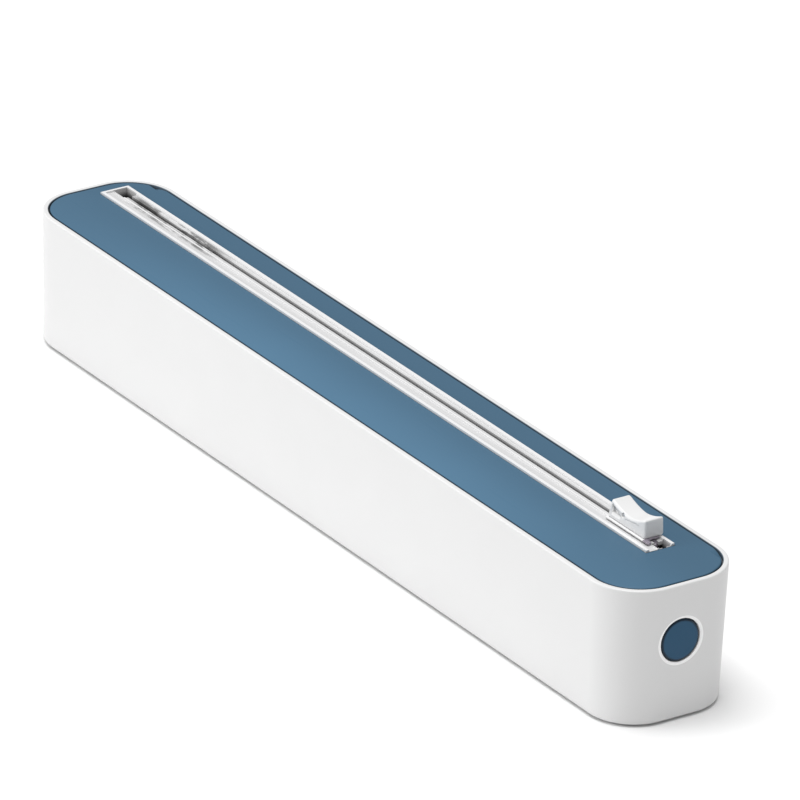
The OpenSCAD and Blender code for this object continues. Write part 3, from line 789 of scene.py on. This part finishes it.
class DISPENSER_OT_lid(Dispenser, bpy.types.Operator):
    """Build the slate blue lid panel with its rolled rear edge, rail slot and hinge notches"""

    bl_idname = "dispenser.lid"
    bl_label = "Lid"

    def corner_cutters(self, side):
        """What the lid gives up in a rear corner, so that it swings clear of the rim."""
        deep = REAR_R + 0.1
        lift = 0.004
        lowest = -3.0
        spacing, count = 0.5, 35
        stations = [CORNER_X + spacing * i for i in range(count)]
        if side < 0:
            stations = [-x for x in reversed(stations)]
        rings = []
        for x in stations:
            floor = HINGE.z + max(lowest, min(REAR_R, lid_reach(x))) + lift
            y0, y1 = HINGE.y - deep, HINGE.y + 0.3
            z1 = HINGE.z + 2 * REAR_R
            rings.append([(x, y0, floor), (x, y1, floor), (x, y1, z1), (x, y0, z1)])
        under_r = 2.3
        under_x = (165.3, 174.5)
        arc = [math.radians(a) for a in range(157, 384, 8)]
        section = [(HINGE.y + under_r * math.cos(a), HINGE.z + under_r * math.sin(a)) for a in arc]
        x0, x1 = sorted(side * x for x in under_x)
        return [lofted("ramp", rings), prism("undercut", x0, x1, section)]

    def execute(self, context):
        ease = 0.12
        length = 2 * (LID_HIGH.x - ease)
        width = 2 * (LID_HIGH.y - ease)
        outline = clipped_behind(rounded_outline(length, width, LID_R - ease), HINGE.y)
        bottom = LID_LOW_Z
        rings = [[(x, y, z) for x, y in outline] for z in (bottom, LID_HIGH.z)]
        lid = lofted("lid_plate", rings)
        weight = lid.data.attributes["bevel_weight_edge"].data
        for edge in lid.data.edges:
            ends = [lid.data.vertices[v].co / MM for v in edge.vertices]
            on_top = min(p.z for p in ends) > bottom + 1
            at_rear = min(p.y for p in ends) > HINGE.y - 0.01
            weight[edge.index].value = 1.0 if on_top and not at_rear else 0.0
        bevel(lid, self.sizes.lid_round / MM, 4, by_weight=True)
        apply_stack(lid)
        corner = math.sqrt(LID_R**2 - (HINGE.y - CORNER_Y) ** 2)
        half = [(0.0, CORNER_X + corner)]
        half += [(lid_reach(x), x) for x in (CORNER_X + corner * i / 24 for i in range(24, -1, -1))]
        profile = half + [(r, -x) for r, x in reversed(half)]
        roll = turned("roll", profile, at(0, HINGE.y, HINGE.z) @ ALONG_X, 64)
        end = CORNER_X + CORNER_R
        above = block("above", -end, end, HINGE.y - 3, HINGE.y + 3, LID_HIGH.z, LID_HIGH.z + 3)
        combine(roll, "DIFFERENCE", above)
        combine(lid, "UNION", roll)
        cutters = self.corner_cutters(1) + self.corner_cutters(-1)
        gap = 0.04
        slot_levels = [(gap, 40.0), (gap, DECK_Z - 0.14), (2.9, DECK_Z + 2.72)]
        slot = [
            [
                (RAIL_LOW.x - by, RAIL_Y - RAIL_W / 2 - by, z),
                (RAIL_HIGH.x + by, RAIL_Y - RAIL_W / 2 - by, z),
                (RAIL_HIGH.x + by, RAIL_Y + RAIL_W / 2 + by, z),
                (RAIL_LOW.x - by, RAIL_Y + RAIL_W / 2 + by, z),
            ]
            for by, z in slot_levels
        ]
        cutters.append(lofted("slot", slot))
        reach = BRACKET_W / 2 + 0.3
        bore_r = 1.05
        for x in HINGE_PLACES:
            bore = [(0, x + reach), (bore_r, x + reach), (bore_r, x - reach), (0, x - reach)]
            cutters.append(turned("bore", bore, at(0, HINGE.y, HINGE.z) @ ALONG_X, 32))
            sides = (x - reach, x + reach, HINGE.y - 0.6, HINGE.y + 3)
            cutters.append(block("notch", *sides, HINGE.z - 3, HINGE.z + 0.6))
        combine(lid, "DIFFERENCE", *cutters)
        look = {"grain": 0.008, "mottle": 0.04, "shine": 0.2, "tint": lid_tint}
        material = self.finish("lid_moulding", moulded, self.colours.blue, 0.42, **look)
        dress(lid, material, "lid", "blue_plastic", "lid_panel")
        return {"FINISHED"}


class DISPENSER_OT_rail(Dispenser, bpy.types.Operator):
    """Build the cutter rail with its lips, ridge, groove and open ends"""

    bl_idname = "dispenser.rail"
    bl_label = "Rail"

    def execute(self, context):
        half = RAIL_W / 2
        lip = half - 1.2
        top = RAIL_HIGH.z
        foot = RAIL_LOW.z
        under = DECK_Z - 1.2
        channel_z = DECK_Z - 3.2
        flange, wall = 8.5, 1.1
        end_t = 0.9
        groove0, groove1 = GROOVE_Y - 0.8, GROOVE_Y + 0.8
        channel0, channel1 = GROOVE_Y - 2.6, GROOVE_Y + 2.6
        section = [
            (-flange, foot), (-half + wall, foot), (-half + wall, under),
            (channel0 - wall, under), (channel0 - wall, foot), (flange, foot),
            (flange, foot + 1), (half, foot + 1), (half, top), (lip, top), (lip - 0.2, DECK_Z),
            (groove1, DECK_Z), (groove1, under), (channel1, under), (channel1, channel_z),
            (channel0, channel_z), (channel0, under), (groove0, under), (groove0, DECK_Z),
            (-0.25, DECK_Z), (-0.35, DECK_Z + 0.35), (-0.85, DECK_Z + 0.35), (-0.95, DECK_Z),
            (-lip + 0.2, DECK_Z), (-lip, top), (-half, top), (-half, foot + 1),
            (-flange, foot + 1),
        ]
        x0, x1 = RAIL_LOW.x, RAIL_HIGH.x
        rail = prism("rail_moulding", x0 + 0.3, x1 - 0.1, [(RAIL_Y + y, z) for y, z in section])
        ends = [
            block("end", x, x + end_t, RAIL_Y - half, RAIL_Y + half, foot, height)
            for x, height in ((x0, top - 0.1), (x1 - end_t, DECK_Z - 0.5))
        ]
        combine(rail, "UNION", *ends)
        notches = [
            block("notch", a, b, RAIL_Y + channel0, RAIL_Y + channel1, foot - 1, top + 1)
            for a, b in ((x0 + end_t, x0 + 7.1), (x1 - 4.5, x1 - 0.35))
        ]
        combine(rail, "DIFFERENCE", *notches)
        bevel(rail, 0.14, 2, 30.0)
        dress(rail, self.clear(), "lid", "clear_plastic", "cutter_rail")
        return {"FINISHED"}


class DISPENSER_OT_slider(Dispenser, bpy.types.Operator):
    """Build the slider: its saddle-shaped grip, clear foot, blade and pin"""

    bl_idname = "dispenser.slider"
    bl_label = "Slider"

    def grip(self):
        depth = self.sizes.grip_line / MM
        middle = (GRIP_LOW.x + GRIP_HIGH.x) / 2
        half = (GRIP_HIGH.x - GRIP_LOW.x) / 2
        centre = (GRIP_LOW.y + GRIP_HIGH.y) / 2
        deep = (GRIP_HIGH.y - GRIP_LOW.y) / 2
        low, high = GRIP_LOW.z, GRIP_HIGH.z
        left_draw, right_draw = 1.4, 0.4
        front_lean = 0.45
        inset, dip = 1.0, 2.5
        offset = 0.8
        hollow = middle + offset
        rings = []
        stations = 20
        for i in range(stations + 1):
            s = -1 + 2 * i / stations
            x_top = middle + (half - inset) * s
            reach = half - inset + (offset if x_top < hollow else -offset)
            top = high - dip + dip * min(1.0, abs(x_top - hollow) / reach) ** 1.6
            section = [(-deep, low), (deep, low), (deep - 0.1, top), (-deep + front_lean, top)]
            ring = []
            for y, z in section:
                share = (z - low) / (high - low)
                start = middle - half + left_draw * share
                end = middle + half - right_draw * share
                ring.append((start + (end - start) * (s + 1) / 2, centre + y, z))
            rings.append(ring)
        grip = lofted("grip_cap", rings)
        bevel(grip, self.sizes.grip_round / MM, 3, 28.0)
        apply_stack(grip)
        x0, z0 = GRIP_LOW.x + 2.2, low + 2.3
        corner = [(x0, z0), (x0, z0 + 2.7), (x0 + 5.0, z0)]
        depths = (GRIP_LOW.y - 2, GRIP_LOW.y + 1.3)
        pocket = lofted("pocket", [[(x, y, z) for x, z in corner] for y in depths])
        dot_r = 0.8
        dot = [(0, 1.5), (dot_r, 1.5), (dot_r, -2), (0, -2)]
        inward = Matrix.Rotation(math.radians(-90), 4, "X")
        dimple = turned("dimple", dot, at(middle - 2.2, GRIP_LOW.y, low + 3.3) @ inward, 20)
        line = []
        line_half, line_points = 0.15, 11
        for i in range(line_points):
            s = -0.1 + 0.075 * i
            x, z = middle + half * s, low + 2.6 + 1.2 * s
            face = GRIP_LOW.y + front_lean * (z - low) / (high - low)
            front, back = face - 1, face + depth
            z0, z1 = z - line_half, z + line_half
            line.append([(x, front, z0), (x, back, z0), (x, back, z1), (x, front, z1)])
        combine(grip, "DIFFERENCE", pocket, dimple, lofted("line", line))
        bevel_long_edges(grip, 0.12, 2, 1.0)
        material = self.finish("grip_moulding", moulded, (0.76, 0.76, 0.76), 0.34, grain=0.004, coat=0.1)
        dress(grip, material, "slider", "grip_plastic", "slider_grip")

    def execute(self, context):
        self.grip()
        foot = from_node("shoe_foot", "slider_shoe")
        trims = [
            block("trim", x0, x1, y0, y1, DECK_Z + 0.1, GRIP_LOW.z + 1)
            for x0, x1, y0, y1 in (
                (GRIP_HIGH.x + 0.1, GRIP_HIGH.x + 9, RAIL_Y - 1, RAIL_Y + 9),
                (GRIP_LOW.x - 9, GRIP_LOW.x - 0.1, RAIL_Y - 9, RAIL_Y + 9),
                (GRIP_LOW.x - 10, GRIP_HIGH.x + 10, RAIL_Y - 9, GRIP_LOW.y - 0.5),
            )
        ]
        combine(foot, "DIFFERENCE", *trims)
        bevel_long_edges(foot, 0.12, 2, 0.6)
        # The dark tone of the foot's painted reflections and shade.
        dark = tuple(c * 0.3 for c in self.colours.clear)
        material = self.finish("clear_foot", clear_moulding, self.colours.clear, dark, tab=True)
        dress(foot, material, "slider", "clear_plastic", "slider_shoe")
        blade = self.finish("blade_steel", metal, (0.7, 0.71, 0.73), 0.2, (1.0, 1.0, 0.05), grain=0.002)
        self.refined("blade_strip", "cutter_blade", 0.04, blade, "slider", "blade_steel", 1, 0.0)
        self.refined("blade_rivet", "blade_pin", 0.08, self.steel(), "slider", "screw_steel", 2, 0.0)
        return {"FINISHED"}


class DISPENSER_OT_button(Dispenser, bpy.types.Operator):
    """Build the release button, the latch slide behind it and its spring"""

    bl_idname = "dispenser.button"
    bl_label = "Button"

    def execute(self, context):
        face = BUTTON_HIGH.x
        inside = BUTTON_LOW.x
        flange = face - 2.0
        profile = [
            (0, face), (BUTTON_R - 1.1, face), (BUTTON_R - 0.55, face - 0.06),
            (BUTTON_R - 0.18, face - 0.24), (BUTTON_R, face - 0.6), (BUTTON_R, flange),
            (BUTTON_R + 1.1, flange), (BUTTON_R + 1.1, flange - 1.4),
            (BUTTON_R - 1.5, flange - 1.4), (BUTTON_R - 1.5, face - 1.4), (2.0, face - 1.4),
            (2.0, inside + 0.4), (1.6, inside), (0, inside),
        ]
        cap = turned("button_cap", profile, at(0, BUTTON_Y, BUTTON_Z) @ ALONG_X, 72)
        look = {"grain": 0.01, "mottle": 0.06, "shine": 0.25, "tint": button_tint}
        material = self.finish("button_moulding", moulded, self.colours.button, 0.4, **look)
        dress(cap, material, "button", "button_plastic", "release_button")
        self.refined("latch_arm", "latch_slide", 0.2, self.inner(), "button", "inner_plastic")
        self.spring()
        return {"FINISHED"}

    def spring(self):
        wire = 0.35
        radius = (SPRING_HIGH.y - SPRING_LOW.y) / 2 - wire
        y = (SPRING_HIGH.y + SPRING_LOW.y) / 2
        z = (SPRING_HIGH.z + SPRING_LOW.z) / 2
        x0, x1 = SPRING_LOW.x + wire, SPRING_HIGH.x - wire
        turns, steps = 6, 24
        flat = 2.1 * wire
        curve = bpy.data.curves.new("coil", "CURVE")
        curve.dimensions = "3D"
        curve.bevel_depth = wire * MM
        curve.bevel_resolution = 3
        curve.use_fill_caps = True
        line = curve.splines.new("POLY")
        line.points.add(turns * steps)
        for i in range(turns * steps + 1):
            turn = i / steps
            if turn < 1:
                x = x0 + flat * turn
            elif turn > turns - 1:
                x = x1 - flat * (turns - turn)
            else:
                x = x0 + flat + (x1 - x0 - 2 * flat) * (turn - 1) / (turns - 2)
            a = 2 * math.pi * turn
            place = Vector((x, y + radius * math.cos(a), z + radius * math.sin(a))) * MM
            line.points[i].co = (*place, 1.0)
        holder = bpy.data.objects.new("coil", curve)
        bpy.context.scene.collection.objects.link(holder)
        bpy.context.view_layer.update()
        graph = bpy.context.evaluated_depsgraph_get()
        mesh = bpy.data.meshes.new_from_object(holder.evaluated_get(graph), depsgraph=graph)
        bpy.data.objects.remove(holder)
        bpy.data.curves.remove(curve)
        merged(mesh, 0.002)
        coil = new_object("spring_coil", mesh)
        for face in mesh.polygons:
            face.use_smooth = True
        material = self.finish("spring_steel", metal, (0.55, 0.56, 0.57), 0.24, (1.0, 1.0, 1.0))
        dress(coil, material, "box", "spring_steel", "latch_spring", weigh=False)
        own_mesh(coil)


class DISPENSER_OT_roll(Dispenser, bpy.types.Operator):
    """Build the roll of film, its board core and the plugs that it turns on"""

    bl_idname = "dispenser.roll"
    bl_label = "Film roll"

    def execute(self, context):
        place = at(0, 0, ROLL_Z) @ ALONG_X
        outer = (ROLL_HIGH.z - ROLL_LOW.z) / 2
        core = (CORE_HIGH.z - CORE_LOW.z) / 2
        bore = core - 1.5
        end = ROLL_HIGH.x
        layers = 12
        stair = []
        for i in range(layers + 1):
            radius = core + (outer - core) * i / layers
            stair.append((radius, end - (0.25 if i % 2 else 0.0) - 0.1 * ((i * 5) % 3)))
        profile = [(r, h) for r, h in stair] + [(r, -h) for r, h in reversed(stair)]
        film = turned("film_winding", profile, place, 96, closed=True)
        film_look = self.finish("wound_film", wound_film, (0.74, 0.78, 0.8), (0.5, 0.56, 0.6))
        dress(film, film_look, "roll", "cling_film", "film_roll")
        end = CORE_HIGH.x
        tube = [(bore, end), (core - 0.2, end), (core, end - 0.2)]
        tube += [(r, -h) for r, h in reversed(tube)]
        card = turned("board_core", tube, place, 72, closed=True)
        dress(card, self.finish("core_board", board, (0.5, 0.33, 0.18)), "roll", "core_board", "core_tube")
        plug = [
            (0, end + 5.5), (3.5, end + 5.5), (4.0, end + 5.0), (4.0, end + 1.2),
            (8.0, end + 1.2), (8.4, end + 0.7), (12.0, end + 0.7), (12.4, end + 1.2),
            (13.7, end + 1.2), (14.0, end + 0.9), (14.0, end + 0.2), (13.8, end), (bore, end),
            (bore, end - 11.4), (bore - 0.6, end - 12), (0, end - 12),
        ]
        for name, node, side in (("plug_left", "roll_plug_left", -1), ("plug_right", "roll_plug_right", 1)):
            shape = plug if side > 0 else [(r, -h) for r, h in reversed(plug)]
            piece = turned(name, shape, place, 56)
            dress(piece, self.inner(), "roll", "inner_plastic", node)
        return {"FINISHED"}


class DISPENSER_OT_hinges(Dispenser, bpy.types.Operator):
    """Build the three steel hinge brackets and their pins"""

    bl_idname = "dispenser.hinges"
    bl_label = "Hinges"

    def execute(self, context):
        for side, x in zip(("left", "middle", "right"), HINGE_PLACES):
            bracket = "hinge_bracket_" + side
            self.refined("bracket_" + side, bracket, 0.08, self.sheet_steel(), "box", "bracket_steel")
            profile = [(0, x + 8), (0.38, x + 8), (0.5, x + 7.88)]
            profile += [(0.5, x - 7.88), (0.38, x - 8), (0, x - 8)]
            pin = turned("pin_" + side, profile, at(0, HINGE.y, HINGE.z) @ ALONG_X, 24)
            dress(pin, self.sheet_steel(), "lid", "bracket_steel", "hinge_pin_" + side)
        return {"FINISHED"}


class DISPENSER_OT_fittings(Dispenser, bpy.types.Operator):
    """Build the lid's frame, the roll's cradles, the latch parts, the screws and the feet"""

    bl_idname = "dispenser.fittings"
    bl_label = "Fittings"

    def screws(self, name, node, body, length, head, places):
        """Pan-head screws with a cross, whose heads point along each place's z axis."""
        profile = [
            (0, 1.0), (head * 0.45, 0.94), (head * 0.8, 0.72), (head * 0.97, 0.4), (head, 0.12),
            (head, 0), (0.95, 0), (0.95, -length + 0.5), (0.3, -length), (0, -length),
        ]
        first = turned(name, profile, Matrix.Identity(4), 32)
        arm, slot = head * 0.6, 0.22
        cross = [
            block("cross", -arm, arm, -slot, slot, 0.45, 2),
            block("cross", -slot, slot, -arm, arm, 0.45, 2),
        ]
        combine(first, "DIFFERENCE", *cross)
        copies = []
        for place in places:
            copy = new_object(name, first.data.copy())
            copy.data.transform(place)
            copies.append(copy)
        remove(first)
        group = joined(name, copies)
        dress(group, self.steel(), body, "screw_steel", node)

    def feet(self):
        profile = [(0, 1.5), (4.6, 1.5), (5.0, 1.1), (5.0, 0.3), (4.7, 0), (3.2, 0), (3.0, 0.25), (0, 0.25)]
        feet = [turned("foot", profile, at(x, y, 0), 40) for x, y in four_places(FOOT_X, FOOT_Y)]
        group = joined("feet_pads", feet)
        material = self.finish("foot_rubber", rubber, (0.05, 0.05, 0.05))
        dress(group, material, "box", "foot_rubber", "rubber_feet")

    def execute(self, context):
        inner = self.inner()
        for name, node, body, width in (
            ("frame_plate", "lid_frame", "lid", 0.3),
            ("catch_hook", "lid_catch", "lid", 0.2),
            ("cradle_plate_left", "cradle_left", "box", 0.3),
            ("cradle_plate_right", "cradle_right", "box", 0.3),
            ("latch_guide", "latch_bracket", "box", 0.25),
        ):
            self.refined(name, node, width, inner, body, "inner_plastic")
        floor = FLOOR_Z + BASE_PLATE_T
        down = Matrix.Rotation(math.radians(180), 4, "X")
        forward = Matrix.Rotation(math.radians(90), 4, "X")
        cradle = [at(x, y, floor) for x, y in four_places(CRADLE_SCREW_X, CRADLE_SCREW_Y)]
        self.screws("cradle_fixings", "cradle_screws", "box", 3.4, 1.9, cradle)
        guide = [at(GUIDE_SCREW_X, BUTTON_Y + side * GUIDE_SCREW_Y, floor) for side in (-1, 1)]
        self.screws("guide_fixings", "bracket_screws", "box", 3.4, 1.9, guide)
        hinge = [
            at(x + side * HINGE_SCREW_X, HINGE.y - BRACKET_T, (BOSS_LOW + BOSS_HIGH) / 2) @ forward
            for x in HINGE_PLACES
            for side in (-1, 1)
        ]
        self.screws("hinge_fixings", "hinge_screws", "box", 2.2, 1.7, hinge)
        panel = [at(x, PANEL_SCREW_Y, PANEL_SEAT_Z) @ down for x in PANEL_SCREWS_X]
        self.screws("panel_fixings", "lid_screws", "lid", 2.8, 1.9, panel)
        rail = [
            at(x, RAIL_Y + side * RAIL_SCREW_Y, RAIL_SEAT_Z) @ down
            for x in RAIL_SCREWS_X
            for side in (-1, 1)
        ]
        self.screws("rail_fixings", "rail_screws", "lid", 2.6, 1.5, rail)
        catch_y = [BUTTON_Y + side * CATCH_SCREW_Y for side in (-1, 1)]
        catch = [at(CATCH_SCREW_X, y, CATCH_SEAT_Z) @ down for y in catch_y]
        self.screws("catch_fixings", "catch_screws", "lid", 2.9, 1.5, catch)
        self.feet()
        return {"FINISHED"}


class DISPENSER_OT_stage(Dispenser, bpy.types.Operator):
    """Set out the pale floor, the soft lights and the camera"""

    bl_idname = "dispenser.stage"
    bl_label = "Stage"

    def lamp(self, name, place, target, size, power):
        light = bpy.data.lights.new(name, "AREA")
        light.shape = "RECTANGLE"
        light.size, light.size_y = size
        light.energy = power
        lamp = bpy.data.objects.new(name, light)
        bpy.context.scene.collection.objects.link(lamp)
        lamp.location = place
        aim = Vector(target) - Vector(place)
        lamp.rotation_euler = aim.to_track_quat("-Z", "Y").to_euler()

    def camera(self):
        turn, rise, roll = map(math.radians, (CAMERA_TURN, CAMERA_RISE, CAMERA_ROLL))
        flat = math.cos(rise)
        back = Vector((math.sin(turn) * flat, -math.cos(turn) * flat, math.sin(rise)))
        level = Vector((math.cos(turn), math.sin(turn), 0))
        upright = back.cross(level)
        right = level * math.cos(roll) + upright * math.sin(roll)
        up = upright * math.cos(roll) - level * math.sin(roll)
        data = bpy.data.cameras.new("Camera")
        data.lens = CAMERA_LENS
        data.sensor_width = 36
        data.clip_start, data.clip_end = 0.1, 100
        camera = bpy.data.objects.new("Camera", data)
        bpy.context.scene.collection.objects.link(camera)
        aim = Vector((0, 0, CAMERA_AIM_Z))
        where = aim + back * CAMERA_BACK + right * CAMERA_RIGHT + up * CAMERA_UP
        facing = Matrix((right, up, back)).transposed().to_4x4()
        camera.matrix_world = Matrix.Translation(where) @ facing
        bpy.context.scene.camera = camera

    def execute(self, context):
        scene = bpy.context.scene
        floor = from_points(
            "floor", [(-9000, -9000, 0), (9000, -9000, 0), (9000, 9000, 0), (-9000, 9000, 0)],
            faces=[(0, 1, 2, 3)],
        )
        finish = Finish("pale_floor", Roughness=0.9)
        tone = finish.place.noise(3.0, 2.0, 0.5)
        finish.link(Base_Color=tone.mixed(rgba((0.9, 0.9, 0.9)), rgba((0.93, 0.93, 0.93))))
        floor.data.materials.append(finish.material)
        world = bpy.data.worlds.new("Soft sky")
        world.use_nodes = True
        world.node_tree.nodes["Background"].inputs["Color"].default_value = (1.0, 1.0, 1.0, 1.0)
        world.node_tree.nodes["Background"].inputs["Strength"].default_value = 0.35
        scene.world = world
        self.lamp("Top", (0.0, -0.3, 3.2), (0, 0, 0), (2.6, 1.8), 95)
        self.lamp("Front", (-1.35, -2.3, 0.8), (0, 0, 0), (1.4, 0.8), 30)
        scene.view_settings.view_transform = "Standard"
        self.camera()
        return {"FINISHED"}


class DISPENSER_PT_panel(bpy.types.Panel):
    """Lists what builds the dispenser."""

    bl_label = "Cling Film Dispenser"
    bl_idname = "DISPENSER_PT_panel"
    bl_space_type = "VIEW_3D"
    bl_region_type = "UI"
    bl_category = "Dispenser"

    def draw(self, context):
        layout = self.layout
        for group in (context.scene.dispenser_sizes, context.scene.dispenser_colours):
            for name in group.__annotations__:
                layout.prop(group, name)
        for operator in OPERATORS:
            layout.operator(operator.bl_idname)


GROUPS = (DispenserSizes, DispenserColours)
OPERATORS = (
    DISPENSER_OT_body,
    DISPENSER_OT_lid,
    DISPENSER_OT_rail,
    DISPENSER_OT_slider,
    DISPENSER_OT_button,
    DISPENSER_OT_roll,
    DISPENSER_OT_hinges,
    DISPENSER_OT_fittings,
    DISPENSER_OT_stage,
)


def register():
    for part in (*GROUPS, *OPERATORS, DISPENSER_PT_panel):
        bpy.utils.register_class(part)
    bpy.types.Scene.dispenser_sizes = PointerProperty(type=DispenserSizes)
    bpy.types.Scene.dispenser_colours = PointerProperty(type=DispenserColours)


def unregister():
    del bpy.types.Scene.dispenser_colours
    del bpy.types.Scene.dispenser_sizes
    for part in reversed((*GROUPS, *OPERATORS, DISPENSER_PT_panel)):
        bpy.utils.unregister_class(part)


def main():
    register()
    for operator in OPERATORS:
        group, name = operator.bl_idname.split(".")
        getattr(getattr(bpy.ops, group), name)()


if __name__ == "__main__":
    main()
